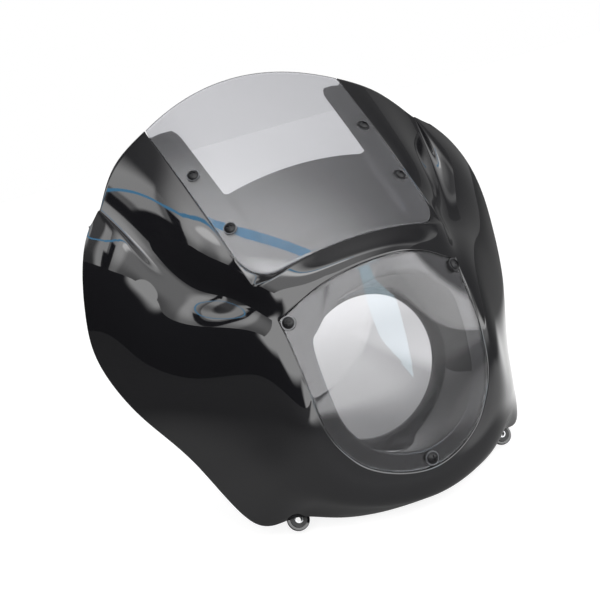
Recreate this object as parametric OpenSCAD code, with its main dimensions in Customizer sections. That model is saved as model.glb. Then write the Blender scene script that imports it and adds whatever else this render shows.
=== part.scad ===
// Headlight cowl for a motorcycle with fork tubes: a moulded shell with a flush
// windshield over it, a flush lens in front of the lamp opening, and four bolt lugs.
// Frame: millimetres, +Z up as mounted, front towards -Y, origin at the centre of the
// rear face of the round lamp opening, whose axis runs along Y.

/* [Shell] */
// Overall width across the cheeks
cowl_w = 492; // [484:1:510]
// Wall thickness of the moulded shell
wall = 3.2; // [2.6:0.1:4]
// Diameter of the round lamp opening
lamp_d = 150; // [144:1:156]
// Width of the flat ring round the lamp opening
lamp_ring_w = 7; // [5:0.5:9]

/* [Lens] */
// Half width of the lens at its upper corners
lens_corner_x = 99.4; // [97:0.2:101]
// Height of the upper corners above the lamp axis
lens_corner_z = 89.4; // [87:0.2:91]
// Half width of the lens where its round lower part begins
lens_low_x = 94.5; // [92:0.5:96]
// Height of the middle of the top edge above the lamp axis
lens_top_z = 121.5; // [119:0.5:123]
// Depth of the bottom of the lens below the lamp axis
lens_bottom_z = 87; // [85:0.5:89]
// Distance of the lens in front of the lamp opening
lens_y = 92; // [90:0.5:94]
// Thickness of the lens
lens_t = 3; // [2:0.5:4]
// Width of the ledge behind the lens, as a share of its half width
ledge_share = 0.18; // [0.16:0.01:0.2]

/* [Windshield] */
// Half width of the windshield at its lower corners
ws_low_x = 106; // [104:0.5:108]
// Half width of the windshield at its upper corners
ws_top_x = 117; // [114:0.5:119]
// Height of the lower corners above the lamp axis
ws_low_z = 123; // [122:0.5:124]
// Height of the upper corners above the lamp axis
ws_top_z = 283; // [281:0.5:284]
// Rise of the bottom edge at its middle
ws_low_rise = 18; // [16:0.5:20]
// Rise of the top edge at its middle
ws_top_rise = 30.2; // [24:0.2:36]
// Distance of the middle of the bottom edge in front of the lamp opening
ws_y = 48; // [46:0.5:50]
// Radius of the lower corners
ws_corner_r = 20; // [14:1:24]
// Thickness of the windshield
ws_t = 3; // [2:0.5:4]
// Width of the side flanges behind the windshield
flange_w = 28; // [24:1:30]
// Width of the flange along the bottom edge of the windshield
low_flange_w = 11; // [9:0.5:14]
// Depth of the sunken panel below the face of the windshield
panel_sink = 11; // [9:0.5:13]
// Height of the middle of the panel's top edge above the lamp axis
panel_top_z = 220; // [212:1:226]
// Gap all round the windshield and the lens
edge_gap = 0.6; // [0.4:0.1:1]

/* [Panel screws] */
// Diameter of the screw heads
head_d = 11.5; // [10:0.5:12]
// Height of the screw heads
head_h = 3.6; // [3:0.2:4]
// Diameter of the screw shanks
shank_d = 5; // [4:0.5:5.5]
// Diameter of the washers
washer_d = 14; // [13:0.5:15]
// Thickness of the washers
washer_t = 1; // [0.8:0.1:1.4]
// Body diameter of the rubber well nuts
well_d = 9.5; // [8.5:0.5:10]
// Body length of the rubber well nuts
well_l = 12; // [10:1:13]
// Rim diameter of the rubber well nuts
well_rim_d = 13; // [12:0.5:14]
// Rim thickness of the rubber well nuts
well_rim_t = 1.2; // [1:0.1:1.6]
// Clearance between pieces that are bolted together
seat_gap = 0.2; // [0.1:0.05:0.3]
// Radial clearance of a screw in a washer or a panel
screw_gap = 0.4; // [0.2:0.1:0.6]

/* [Mounting lugs] */
// Rake of the mounting plane from the vertical, in degrees
rake = 30; // [28:0.5:32]
// Distance of the mounting plane behind the lamp opening's centre
plane_w = 38; // [37:0.5:39]
// Radius of the round lugs
lug_r = 11.5; // [11:0.5:12.5]
// Thickness of the lugs
lug_t = 3.6; // [3:0.2:4]
// Distance of the lower lugs from the centre line, at the guide rows' own width
low_lug_x = 122; // [120:0.5:125]
// Height of the lower lugs along the mounting plane
low_lug_s = -112; // [-114:0.5:-110]
// Distance of the upper lugs from the centre line, at the guide rows' own width
high_lug_x = 213; // [209:0.5:215]
// Height of the upper lugs along the mounting plane
high_lug_s = 113; // [110:1:116]
// Bore diameter of the metal sleeves
sleeve_bore_d = 6.6; // [6.2:0.1:7]
// Outer diameter of the metal sleeves
sleeve_d = 8.6; // [8.2:0.1:9]
// Flange diameter of the grommets
grommet_d = 17; // [15:0.5:18]
// Flange thickness of the grommets
grommet_flange_t = 1.4; // [1.2:0.1:1.6]
// Diameter of the grommets' neck, in the holes of the lugs
grommet_neck_d = 12; // [11:0.5:13]

/* [Hidden] */
sides = ["left", "right"];
ranks = ["upper", "lower"];

$fn = 48;
// Depth of the recesses: the panel, the rim of a well nut and a clearance
ws_seat = ws_t + seat_gap + well_rim_t;
lens_seat = lens_t + seat_gap + well_rim_t;
// Lean of the windshield and of the lens, as travel in Y for each unit of Z
ws_lean = 1.243;
lens_lean = 0.091;
// Bow of the two faces over X squared, and how it grows away from their straightest level
lens_bow = 0.0014;
lens_bow_growth = 2.3e-7;
ws_bow = 0.0020;
ws_bow_growth = 0.0014;
ws_base_z = ws_low_z + ws_low_rise;
ws_span = ws_top_z - ws_base_z;

// Faces of the lens and of the windshield: Y at a place X, Z of the front view
function lens_face(x, z) = -lens_y + lens_lean*z + x*x*(lens_bow + lens_bow_growth*z*z);
function ws_low_share(z) = (ws_top_z - z)/ws_span;
function ws_face(x, z) = -ws_y + ws_lean*(z - ws_base_z)
    + x*x*(ws_bow + ws_bow_growth*pow(ws_low_share(z), 2));
function on_lens(x, z) = [x, lens_face(x, z), z];
function on_ws(x, z) = [x, ws_face(x, z), z];
// Inward normals of the two faces
function unit(v) = v/norm(v);
function lens_in(x, z) =
    unit([-2*x*(lens_bow + lens_bow_growth*z*z), 1, -lens_lean - 2*x*x*lens_bow_growth*z]);
function ws_in(x, z) = let (q = ws_low_share(z))
    unit([-2*x*(ws_bow + ws_bow_growth*q*q), 1, -ws_lean + 2*x*x*ws_bow_growth*q/ws_span]);
// Points at a depth under the two faces
function under_lens(x, z, d) = on_lens(x, z) + d*lens_in(x, z);
function under_ws(x, z, d) = on_ws(x, z) + d*ws_in(x, z);

// Guide rows of the outer surface, from the chin round the cheek to the top. Each row
// begins on the centre line and passes the edge of the lens or windshield. Its last five
// points are free-form: fillet, valley, cheek, shoulder and rim.
rims = [
    [[0,-101,-99], [0,-98,-112], [0,-88,-120], [0,-74,-126], [0,-57,-133]],
    [[60,-91,-87], [67,-87,-100], [73,-76,-109], [79,-63,-116], [84,-50,-122]],
    [[90,-83,-64], [101,-75,-79], [110,-61,-91], [118,-43,-101], [127,-25,-113]],
    [[103,-79,-38], [118,-66,-52], [135,-45,-70], [148,-22,-90], [162,3,-113]],
    [[109,-75,-4], [127,-55,-14], [151,-24,-27], [171,7,-38], [193,44,-47]],
    [[113,-63,42], [133,-43,38], [166,-5,28], [198,36,18], [226,79,10]],
    [[115,-40,90], [137,-19,90], [174,20,83], [212,62,76], [246,108,68]],
    [[122,0,120], [140,16,114], [178,45,118], [216,77,118], [245,113,116]],
    [[130,28,160], [155,53,148], [181,66,155], [211,87,156], [236,117,155]],
    [[140,88,215], [171,97,189], [185,100,192], [204,110,190], [223,125,185]],
    [[156,153,260], [185,141,227], [193,137.5,218], [200,135,212], [208,131,205]]];
// Share of a change of cowl_w that each of the five points takes
widen = [0.1, 0.3, 0.6, 0.85, 1];
lens_row = 6;
brow_row = 7;
// Width of the shell over the guide rows, whose surface swells a little past them
swell = 1;
width_ratio = cowl_w/(2*(rims[lens_row][4][0] + swell));
// Angles of the guide rows round the lower half of the lens
low_angles = [0, 31.5, 52, 69.5, 90];
// Heights at which the rows of the lens meet the centre line
fan_z = [-20, -5, 10, 22, 40, 65];
// Shares of the windshield's side at its rows
side_shares = [0, 0.29, 0.66, 1];
last_row = len(rims) - 1;
row_knots = [for (i = [-last_row:last_row]) i];
half_knots = [0, 1, 2, 2.5, 3.1, 4, 4.8, 5.5];
last_col = len(half_knots) - 1;
col_knots = [for (j = [-last_col:last_col]) sign(j)*half_knots[abs(j)]];
edge_u = half_knots[2];

function ws_x(z) = ws_low_x + (ws_top_x - ws_low_x)*(z - ws_low_z)/(ws_top_z - ws_low_z);
function low_edge(x) = ws_low_z + ws_low_rise*(1 - pow(x/ws_low_x, 2));
function top_edge(x) = ws_top_z + ws_top_rise*(1 - pow(x/ws_top_x, 2));
// Place X, Z of the lens's or windshield's edge at a row
function edge_xz(i) =
    i < 5 ? let (a = low_angles[i])
        [lens_low_x*pow(sin(a), 0.92), 5 - (lens_bottom_z + 5)*cos(a)] :
    i == 5 ? [(lens_low_x + lens_corner_x)/2, 43] :
    i == 6 ? [lens_corner_x, lens_corner_z] :
    let (z = ws_low_z + side_shares[i - 7]*(ws_top_z - ws_low_z)) [ws_x(z), z];
function centre_z(i) =
    i < 6 ? fan_z[i] :
    i == 6 ? lens_top_z :
    edge_xz(i)[1] + ws_low_rise + side_shares[i - 7]*(ws_top_rise - ws_low_rise);
function inner_points(i) =
    let (e = edge_xz(i), c = centre_z(i), m = [0.6*e[0], c + 0.36*(e[1] - c)])
    i <= lens_row ? [on_lens(0, c), on_lens(m[0], m[1]), on_lens(e[0], e[1])]
    : [on_ws(0, c), on_ws(m[0], m[1]), on_ws(e[0], e[1])];
function outer_points(i) = [for (k = [0:4]) let (p = rims[i][k])
    [p[0]*(1 + widen[k]*(width_ratio - 1)), p[1], p[2]]];
function mirrored(p) = [-p[0], p[1], p[2]];
row_points = [for (i = [0:last_row]) concat(inner_points(i), outer_points(i))];
guides = [for (j = [0:last_col]) [for (i = row_knots)
    i < 0 ? mirrored(row_points[-i][j]) : row_points[i][j]]];

// Natural cubic spline through points P at knots T: its second derivatives
function spline_down(T, P, i = 1, c = [0], d = [[0, 0, 0]]) =
    i > len(T) - 2 ? [c, d] :
    let (a = T[i] - T[i-1], b = T[i+1] - T[i], q = 2*(a + b) - a*c[i-1],
        r = 6*((P[i+1] - P[i])/b - (P[i] - P[i-1])/a))
    spline_down(T, P, i + 1, concat(c, [b/q]), concat(d, [(r - a*d[i-1])/q]));
function spline_up(cd, i, m) =
    i < 0 ? m : spline_up(cd, i - 1, concat([cd[1][i] - cd[0][i]*m[0]], m));
function spline_bend(T, P) = spline_up(spline_down(T, P), len(T) - 2, [[0, 0, 0]]);
function spline_at(T, P, M, t) =
    let (i = max([for (k = [0:len(T) - 2]) if (k == 0 || T[k] <= t) k]),
        h = T[i+1] - T[i], a = (T[i+1] - t)/h, b = 1 - a)
    a*P[i] + b*P[i+1] + ((pow(a, 3) - a)*M[i] + (pow(b, 3) - b)*M[i+1])*h*h/6;
guide_bends = [for (g = guides) spline_bend(row_knots, g)];

// One section of the outer surface, at the row parameter t, at the column parameters us
function section(t, us) =
    let (half = [for (j = [0:last_col]) spline_at(row_knots, guides[j], guide_bends[j], t)],
        all = [for (j = [-last_col:last_col]) j < 0 ? mirrored(half[-j]) : half[j]],
        bends = spline_bend(col_knots, all))
    [for (u = us) spline_at(col_knots, all, bends, u)];
function steps(a, b, n) = [for (i = [0:n]) a + (b - a)*i/n];

// Grid of points moved along its own normals
function clamp_i(i, n) = min(max(i, 0), n);
function grid_shift(g, d, round = false) =
    let (n = len(g), m = len(g[0]) - 1)
    [for (i = [0:n - 1]) [for (j = [0:m])
        let (a = round ? g[(i + 1) % n][j] - g[(i + n - 1) % n][j]
                : g[clamp_i(i + 1, n - 1)][j] - g[clamp_i(i - 1, n - 1)][j],
            b = g[i][clamp_i(j + 1, m)] - g[i][clamp_i(j - 1, m)])
        g[i][j] + d*unit(cross(a, b))]];

// Closed solid between two grids of equal size; round closes it along the rows
module slab(top, under, round = false) {
    nr = len(top);
    nc = len(top[0]);
    n = nr*nc;
    last = round ? nr - 1 : nr - 2;
    skins = [for (i = [0:last], j = [0:nc - 2])
        let (a = i*nc + j, b = a + 1, c = ((i + 1) % nr)*nc + j, d = c + 1)
        each [[a, d, b], [a, c, d], [n + a, n + b, n + d], [n + a, n + d, n + c]]];
    edges = [for (i = [0:last])
        let (a = i*nc, c = ((i + 1) % nr)*nc, e = a + nc - 1, g = c + nc - 1)
        each [[a, n + a, n + c], [a, n + c, c], [e, n + g, n + e], [e, g, n + g]]];
    ends = round ? [] : [for (j = [0:nc - 2])
        let (a = j, b = j + 1, c = (nr - 1)*nc + j, d = c + 1)
        each [[a, b, n + b], [a, n + b, n + a], [c, n + d, d], [c, n + c, n + d]]];
    polyhedron(concat([for (r = top) each r], [for (r = under) each r]),
        concat(skins, edges, ends), convexity = 8);
}

// Closed plate over a star-shaped ring grid, whose first column is its outer edge
module plate(top, under, top_mid, under_mid) {
    nr = len(top);
    nc = len(top[0]);
    n = nr*nc;
    skins = [for (i = [0:nr - 1], j = [0:nc - 2])
        let (a = i*nc + j, b = a + 1, c = ((i + 1) % nr)*nc + j, d = c + 1)
        each [[a, b, d], [a, d, c], [n + a, n + d, n + b], [n + a, n + c, n + d]]];
    rest = [for (i = [0:nr - 1])
        let (a = i*nc, c = ((i + 1) % nr)*nc, e = a + nc - 1, g = c + nc - 1)
        each [[a, n + c, n + a], [a, c, n + c], [e, 2*n, g], [n + e, n + g, 2*n + 1]]];
    polyhedron(concat([for (r = top) each r], [for (r = under) each r], [top_mid, under_mid]),
        concat(skins, rest), convexity = 8);
}

// Outline of the lens: its right half from the bottom to the top, then the whole loop
function bend3(a, k, b, s) = (1 - s)*(1 - s)*a + 2*s*(1 - s)*k + s*s*b;
function both_halves(h) = concat(h, [for (i = [len(h) - 1:-1:0]) [-h[i][0], h[i][1]]]);
function lens_top(x) = lens_corner_z + (lens_top_z - lens_corner_z)*(1 - pow(x/lens_corner_x, 2));
lens_side = [for (t = concat(steps(1/6, 5.5, 16), [5.8, 5.93]))
    let (p = section(t, [edge_u])[0]) [p[0], p[2]]];
lens_loop = both_halves(concat(lens_side,
    [[0.994*lens_corner_x, 0.995*lens_corner_z + 1.2]],
    [for (k = [0.94, 0.79, 0.62, 0.45, 0.27, 0.09]) [k*lens_corner_x, lens_top(k*lens_corner_x)]]));
lens_mid_z = 17;
function lens_scaled(p, k) = [k*p[0], lens_mid_z + k*(p[1] - lens_mid_z)];

// Outline of the windshield: its right half from the bottom to the top, and the loop
corner_reach = 1.5*ws_corner_r;
corner_a = [ws_low_x - corner_reach, low_edge(ws_low_x - corner_reach)];
corner_k = [ws_low_x, ws_low_z];
corner_b = [ws_x(ws_low_z + corner_reach), ws_low_z + corner_reach];
ws_bottom = [for (k = [0.11, 0.33, 0.55, 0.78]) [k*corner_a[0], low_edge(k*corner_a[0])]];
ws_corner = [for (s = steps(0, 1, 6)) bend3(corner_a, corner_k, corner_b, s)];
ws_side = [for (t = [7.84, 8.17, 8.5, 8.84, 9.17, 9.5, 9.8, 9.95])
    let (p = section(t, [edge_u])[0]) [p[0], p[2]]];
ws_path = concat(ws_bottom, ws_corner, ws_side);
ws_loop = both_halves(concat(ws_path,
    [for (k = [0.985, 0.9, 0.7, 0.5, 0.3, 0.1]) [k*ws_top_x, top_edge(k*ws_top_x)]]));
ws_mid_z = 215;
function ws_scaled(p, k) = [k*p[0], ws_mid_z + k*(p[1] - ws_mid_z)];

// Inward direction at the edge of the windows, for the strip's rows
function recess_in(t, p) =
    let (k = clamp_i(abs(t) - lens_row, 1))
    unit((1 - k)*lens_in(p[0], p[2]) + k*ws_in(p[0], p[2]));

// Outer strip, from the top left round the chin to the top right
lip_depth = ws_seat + wall + 0.8;
strip_ts = steps(-last_row, last_row, 60);
strip_us = [edge_u, 2.12, 2.3, 2.55, 2.85, 3.2, 3.7, 4.25, 4.9, 5.5];
strip_top = [for (t = strip_ts) section(t, strip_us)];
module strip() {
    thin = grid_shift(strip_top, wall);
    thick = grid_shift(strip_top, lip_depth);
    under = [for (i = [0:len(strip_ts) - 1]) [for (j = [0:len(strip_us) - 1])
        j == 0 ? strip_top[i][0] + lip_depth*recess_in(strip_ts[i], strip_top[i][0])
        : j == 1 ? thick[i][1] : thin[i][j]]];
    slab(strip_top, under);
}

// Brow between the lens and the windshield, let into the strip at both sides
module brow() {
    tab = 2.08;
    ts = [lens_row, 6.12, 6.35, 6.65, 6.88, brow_row];
    us = concat([-tab], steps(-1.97, 1.97, 12), [tab]);
    function top_depth(j) = j == 0 || j == len(us) - 1 ? 0.8 : 0;
    function under_depth(i, j) = j == 0 || j == len(us) - 1 ? lip_depth - 2
        : i == 2 || i == 3 ? wall : lip_depth + 0.6;
    face = [for (t = ts) section(t, us)];
    function moved(i, j, d) = face[i][j] + d*recess_in(ts[i], face[i][j]);
    slab([for (i = [0:len(ts) - 1]) [for (j = [0:len(us) - 1]) moved(i, j, top_depth(j))]],
        [for (i = [0:len(ts) - 1]) [for (j = [0:len(us) - 1]) moved(i, j, under_depth(i, j))]]);
}

// Filler between the sharp lower corner of the opening and the windshield's round one
module corner_filler() {
    function out(d) = [corner_a - [0, d], corner_k + [d, -d], corner_b + [d, 0]];
    function along(line, s) = s < 0.5 ? line[0] + 2*s*(line[1] - line[0])
        : line[1] + (2*s - 1)*(line[2] - line[1]);
    near = out(0.9);
    far = out(2.8);
    rows = [for (s = steps(0.03, 0.97, 6))
        [bend3(corner_a, corner_k, corner_b, s), along(near, s), along(far, s)]];
    depths = [0, 0.15, 1.2];
    slab([for (r = rows) [for (j = [0:2]) under_ws(r[j][0], r[j][1], depths[j])]],
        [for (r = rows) [for (p = r) under_ws(p[0], p[1], ws_seat + 0.6*wall)]]);
}

// Ledge behind the lens and the bucket that leads back to the lamp opening
lamp_r = lamp_d/2;
lamp_ring_r = lamp_r + lamp_ring_w;
lamp_ring_t = 9;
module bucket() {
    join_r = lamp_ring_r - 1.5;
    grid = [for (p = lens_loop)
        let (pull = p[1] > 0 ? 0.09*pow(abs(p[0])/lens_corner_x, 6)*pow(p[1]/lens_corner_z, 6) : 0,
            in = lens_scaled(p, 1 - ledge_share - min(pull, 0.09)),
            f = on_lens(in[0], in[1]) + lens_seat*lens_in(in[0], in[1]),
            c = join_r*unit([in[0], in[1]]),
            back = [c[0], -lamp_ring_t + 3, c[1]])
        concat([back],
            [for (s = [0.25, 0.55, 0.82]) let (e = s*s*(3 - 2*s))
                [back[0] + e*(f[0] - back[0]), back[1] + s*(f[1] - back[1]),
                    back[2] + e*(f[2] - back[2])]],
            [f],
            [for (k = [0.975, 1.04]) let (q = lens_scaled(p, k))
                under_lens(q[0], q[1], lens_seat)])];
    slab(grid, grid_shift(grid, wall, true), true);
}

// Flange behind the sides and the bottom edge of the windshield, with round top ends
flange_round = 16;
function flange_inner(p) =
    let (x = abs(p[0]), in_round = max(0, (p[1] - ws_top_z + flange_round)/flange_round),
        w = flange_w*pow(1 - 0.97*pow(in_round, 3), 1/3),
        xi = x*(1 - w/ws_x(p[1])))
    [sign(p[0])*xi, max(p[1], low_edge(xi) + low_flange_w)];
module flange() {
    path = concat([for (i = [len(ws_path) - 1:-1:0]) [-ws_path[i][0], ws_path[i][1]]], ws_path);
    grid = [for (p = path) let (q = flange_inner(p))
        [for (r = [q, (q + p)/2, ws_scaled(p, 0.975), ws_scaled(p, 1.035)])
            under_ws(r[0], r[1], ws_seat)]];
    slab(grid, grid_shift(grid, wall));
}

// Sunken panel between the flanges, with an arched top edge
module sunken_panel() {
    tuck = ws_seat + 0.5*wall;
    panel_arch = 10.5;
    xs = [-1, -0.955, -0.89, -0.6, -0.3, 0, 0.3, 0.6, 0.89, 0.955, 1];
    vs = [0, 0.07, 0.17, 0.4, 0.7, 1];
    last_x = len(xs) - 1;
    function arch(x) = panel_top_z - panel_arch*pow(x/(ws_low_x - flange_w), 2);
    function place(v, k) =
        let (x0 = k*(ws_low_x - flange_w + 5), z0 = low_edge(x0) + low_flange_w - 4,
            z1 = z0 + v*(arch(x0) - z0), x = k*(ws_x(z1) - flange_w + 5))
        [x, z1];
    function depth(i, j) = i < 2 || j < 2 || j > last_x - 2 ? tuck : panel_sink;
    grid = [for (i = [0:len(vs) - 1]) [for (j = [0:last_x]) let (p = place(vs[i], xs[j]))
        under_ws(p[0], p[1], depth(i, j))]];
    slab(grid, grid_shift(grid, wall));
}

// Frames: local Z points out of the face at a screw, or back from the mounting plane
function frame_at(p, out) =
    let (up = unit([0, 0, 1] - out[2]*out), across = cross(up, out))
    [[across[0], up[0], out[0], p[0]], [across[1], up[1], out[1], p[1]],
        [across[2], up[2], out[2], p[2]], [0, 0, 0, 1]];
plane_back = [0, cos(rake), -sin(rake)];
plane_up = [0, sin(rake), cos(rake)];
function plane_point(x, s) = [x, 0, 0] + plane_w*plane_back + s*plane_up;
// Places of the panel screws and the lugs, from their node's rank and side
function side_sign(side) = side == "left" ? -1 : side == "right" ? 1 : 0;
function ws_place(rank, side) = [side_sign(side)*(rank == "upper" ? 100 : 97),
    rank == "upper" ? 229 : 175];
function lens_place(side) = side == "bottom" ? [0, -78] : [92*side_sign(side), 85];
module at_ws(rank, side) {
    p = ws_place(rank, side);
    multmatrix(frame_at(on_ws(p[0], p[1]), -ws_in(p[0], p[1]))) children();
}
module at_lens(side) {
    p = lens_place(side);
    multmatrix(frame_at(on_lens(p[0], p[1]), -lens_in(p[0], p[1]))) children();
}
module at_lug(rank, side) {
    low = rank == "lower";
    x = (low ? low_lug_x : high_lug_x)*width_ratio;
    p = plane_point(side_sign(side)*x, low ? low_lug_s : high_lug_s);
    multmatrix(frame_at(p, plane_back)) children();
}
module at_all_screws() {
    for (s = sides, r = ranks) at_ws(r, s) children();
    for (s = concat(sides, ["bottom"])) at_lens(s) children();
}

// Webs that join the lugs to the inside of the shell, in the frames of the lugs
module lug_webs() {
    inset = 0.4;
    low_web = [26, 11.5, 6 + lug_t - inset];
    high_web = [32*width_ratio, 16, lug_t - 2*inset];
    for (s = sides) {
        at_lug("lower", s) translate([-low_web[0]/2, 3.5, -6]) cube(low_web);
        at_lug("upper", s) translate([s == "left" ? 0 : -high_web[0], -high_web[1]/2, inset])
            cube(high_web);
    }
}
// Everything just outside the shell between the rows a and b, to trim the webs
module outside(a, b) {
    ts = steps(a, b, 12);
    us = [4, 4.4, 4.9, 5.5];
    face = [for (t = ts) section(t, us)];
    slab(grid_shift(face, -30), grid_shift(face, 0.5*wall));
}

module moulding() {
    strip();
    brow();
    corner_filler();
    mirror([1, 0, 0]) corner_filler();
    bucket();
    flange();
    sunken_panel();
    difference() {
        lug_webs();
        outside(1, 4);
        outside(5, 8);
        outside(-4, -1);
        outside(-8, -5);
    }
}
module fairing_shell() {
    hole_l = 40;
    color([0.03, 0.03, 0.035])
    difference() {
        union() {
            // resize with zeros keeps the size and turns the moulding into one mesh
            resize([0, 0, 0]) difference() {
                moulding();
                at_all_screws() translate([0, 0, -ws_seat - wall - 4])
                    cylinder(d = well_d + 2*seat_gap, h = wall + 8, $fn = 24);
            }
            rotate([90, 0, 0]) cylinder(r = lamp_ring_r, h = lamp_ring_t);
            for (r = ranks, s = sides) at_lug(r, s) cylinder(r = lug_r, h = lug_t);
        }
        rotate([90, 0, 0]) translate([0, 0, -hole_l/2]) cylinder(r = lamp_r, h = hole_l, $fn = 96);
        for (r = ranks, s = sides) at_lug(r, s) {
            translate([0, 0, -1]) cylinder(d = grommet_neck_d, h = lug_t + 10);
            translate([0, 0, -2.5]) cylinder(d = grommet_d + 2, h = 2.5);
        }
    }
}

// The two panels: their edge, screw holes and thickness
plate_scales = [1, 0.92, 0.78, 0.55, 0.28];
module windshield() {
    inset = 1 - edge_gap/100;
    rings = [for (p = ws_loop) [for (k = plate_scales) ws_scaled(p, k*inset)]];
    color([0.35, 0.36, 0.4, 0.5])
    difference() {
        plate([for (r = rings) [for (q = r) under_ws(q[0], q[1], 0)]],
            [for (r = rings) [for (q = r) under_ws(q[0], q[1], ws_t)]],
            on_ws(0, ws_mid_z), under_ws(0, ws_mid_z, ws_t));
        for (r = ranks, s = sides) at_ws(r, s) translate([0, 0, -2*ws_t])
            cylinder(d = shank_d + 2*screw_gap, h = 4*ws_t);
    }
}
module headlight_lens() {
    inset = 1 - edge_gap/100;
    rings = [for (p = lens_loop) [for (k = plate_scales) lens_scaled(p, k*inset)]];
    color([0.6, 0.6, 0.66, 0.4])
    difference() {
        plate([for (r = rings) [for (q = r) under_lens(q[0], q[1], 0)]],
            [for (r = rings) [for (q = r) under_lens(q[0], q[1], lens_t)]],
            on_lens(0, lens_mid_z), under_lens(0, lens_mid_z, lens_t));
        for (s = concat(sides, ["bottom"])) at_lens(s) translate([0, 0, -2*lens_t])
            cylinder(d = shank_d + 2*screw_gap, h = 4*lens_t);
    }
}

// Fasteners, with local Z out of the face of their panel
module panel_screw() {
    slot_l = 0.56*head_d;
    slot_w = 1.3;
    slot_deep = 1.9;
    dome_r = (pow(head_d/2, 2) + pow(head_h - 1, 2))/(2*(head_h - 1));
    shank_l = washer_t + ws_seat + well_l + 0.5;
    color([0.06, 0.06, 0.065])
    difference() {
        union() {
            translate([0, 0, washer_t]) cylinder(d = head_d, h = 1);
            intersection() {
                translate([0, 0, washer_t + head_h - dome_r]) sphere(r = dome_r);
                translate([0, 0, washer_t + 0.5]) cylinder(d = head_d, h = head_h);
            }
            translate([0, 0, washer_t - shank_l]) cylinder(d = shank_d, h = shank_l + 1);
        }
        for (a = [0, 90]) rotate(a)
            translate([-slot_l/2, -slot_w/2, washer_t + head_h - slot_deep])
                cube([slot_l, slot_w, slot_deep + 1]);
    }
}
module panel_washer() {
    color([0.75, 0.75, 0.78])
    difference() {
        cylinder(d = washer_d, h = washer_t);
        translate([0, 0, -washer_t]) cylinder(d = shank_d + 2*screw_gap, h = 3*washer_t);
    }
}
module well_nut() {
    color([0.08, 0.08, 0.08])
    translate([0, 0, -ws_seat])
    difference() {
        union() {
            cylinder(d = well_rim_d, h = well_rim_t);
            translate([0, 0, -well_l]) cylinder(d = well_d, h = well_l + well_rim_t);
        }
        translate([0, 0, -well_l - 1])
            cylinder(d = shank_d + 2*seat_gap, h = well_l + well_rim_t + 2);
    }
}

// Grommet and sleeve of a lug, with local Z pointing back from its front face
module grommet() {
    color([0.07, 0.07, 0.07])
    difference() {
        union() {
            translate([0, 0, -grommet_flange_t]) cylinder(d = grommet_d, h = grommet_flange_t);
            translate([0, 0, -seat_gap]) cylinder(d = grommet_neck_d - 2*seat_gap, h = lug_t + 2*seat_gap);
            translate([0, 0, lug_t]) cylinder(d = grommet_d, h = grommet_flange_t);
        }
        translate([0, 0, -lug_t]) cylinder(d = sleeve_d + 2*seat_gap, h = 3*lug_t);
    }
}
module sleeve() {
    sleeve_l = lug_t + 2*grommet_flange_t;
    color([0.7, 0.7, 0.72])
    translate([0, 0, -grommet_flange_t])
    difference() {
        cylinder(d = sleeve_d, h = sleeve_l);
        translate([0, 0, -1]) cylinder(d = sleeve_bore_d, h = sleeve_l + 2);
    }
}

fairing_shell();
windshield();
headlight_lens();
for (r = ranks, s = sides) {
    tag = str("_", r, "_", s);
    at_ws(r, s) panel_screw();
    at_ws(r, s) panel_washer();
    at_ws(r, s) well_nut();
    at_lug(r, s) grommet();
    at_lug(r, s) sleeve();
}
for (s = concat(sides, ["bottom"])) {
    at_lens(s) panel_screw();
    at_lens(s) panel_washer();
    at_lens(s) well_nut();
}
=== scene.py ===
import math

import bmesh
import bpy
import numpy as np
from mathutils import Matrix, Vector


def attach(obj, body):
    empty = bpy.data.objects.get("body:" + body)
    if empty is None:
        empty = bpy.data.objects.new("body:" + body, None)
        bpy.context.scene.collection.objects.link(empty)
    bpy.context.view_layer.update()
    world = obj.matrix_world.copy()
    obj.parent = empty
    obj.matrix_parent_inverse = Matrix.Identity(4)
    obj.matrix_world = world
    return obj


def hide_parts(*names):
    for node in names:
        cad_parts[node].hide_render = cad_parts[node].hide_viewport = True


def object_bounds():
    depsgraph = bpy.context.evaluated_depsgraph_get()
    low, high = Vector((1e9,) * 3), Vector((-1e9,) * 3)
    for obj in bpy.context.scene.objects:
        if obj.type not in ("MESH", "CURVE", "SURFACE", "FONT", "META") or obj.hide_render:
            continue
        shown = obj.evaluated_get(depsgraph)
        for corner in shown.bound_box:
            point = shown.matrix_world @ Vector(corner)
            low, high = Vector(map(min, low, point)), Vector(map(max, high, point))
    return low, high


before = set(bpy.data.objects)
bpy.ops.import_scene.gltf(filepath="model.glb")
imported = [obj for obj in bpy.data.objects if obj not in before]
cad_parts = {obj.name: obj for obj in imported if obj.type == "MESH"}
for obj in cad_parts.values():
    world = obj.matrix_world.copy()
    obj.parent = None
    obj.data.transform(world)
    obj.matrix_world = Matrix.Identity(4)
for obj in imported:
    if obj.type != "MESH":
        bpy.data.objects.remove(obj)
cad_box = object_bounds()

# Sizes of the part in millimetres, as in its source
MM = 0.001
COWL_W, GUIDE_W = 492, 494
WALL = 3.2
LAMP_R, RING_R, RING_T = 75.0, 82.0, 9.0
LENS_T, WS_T = 3.0, 3.0
SEAT = 4.4
LIP = SEAT + WALL + 0.8
LENS_X, LENS_Z = 99.4, 89.4
LENS_LOW_X, LENS_TOP_Z, LENS_BOTTOM_Z = 94.5, 121.5, 87.0
LENS_HUB_Z, LENS_WAIST_Z, LENS_ROUND = 5, 43, 0.92
LENS_Y, LENS_LEAN, LENS_BOW, LENS_BOW_GROWTH = 92, 0.091, 0.0014, 2.3e-7
WS_LOW_X, WS_TOP_X = 106.0, 117.0
WS_LOW_Z, WS_TOP_Z = 123.0, 283.0
WS_LOW_RISE, WS_TOP_RISE = 18.0, 30.2
WS_BASE_Z, WS_SPAN = 141, 142
WS_Y, WS_LEAN, WS_BOW, WS_BOW_GROWTH = 48, 1.243, 0.0020, 0.0014
LENS_MID_Z, WS_MID_Z = 17, 215
LEDGE_SHARE = 0.18
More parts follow.
